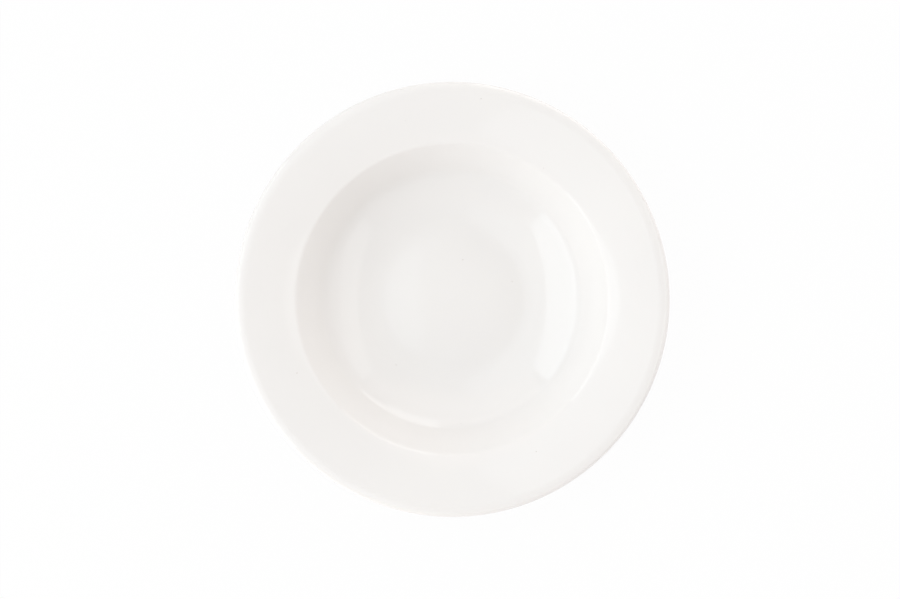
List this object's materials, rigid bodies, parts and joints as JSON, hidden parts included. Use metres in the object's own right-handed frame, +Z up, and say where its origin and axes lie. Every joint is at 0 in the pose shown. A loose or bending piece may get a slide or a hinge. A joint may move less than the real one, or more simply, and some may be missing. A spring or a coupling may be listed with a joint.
{
  "type": "soup plate",
  "caption": "Round soup plate with a broad sloping rim, a deep well with steep walls and a low foot ring. It is glazed all over but for the foot ring's standing edge.",
  "frame": {"origin": "centre of the circle that the foot ring rests on, at the level of the table", "axes": "+Z up along the plate's axis of revolution, towards the open well. +X and +Y are any two square directions, because the plate is round"},
  "size_m": [0.23, 0.23, 0.038],
  "materials": {
    "porcelain": "matte fired body, bare at the foot ring",
    "glaze": "glossy warm white"
  },
  "bodies": {
    "root": {"porcelain_body": "porcelain", "glaze_coat": "glaze", "foot_recess_glaze": "glaze"}
  },
  "joints": []
}
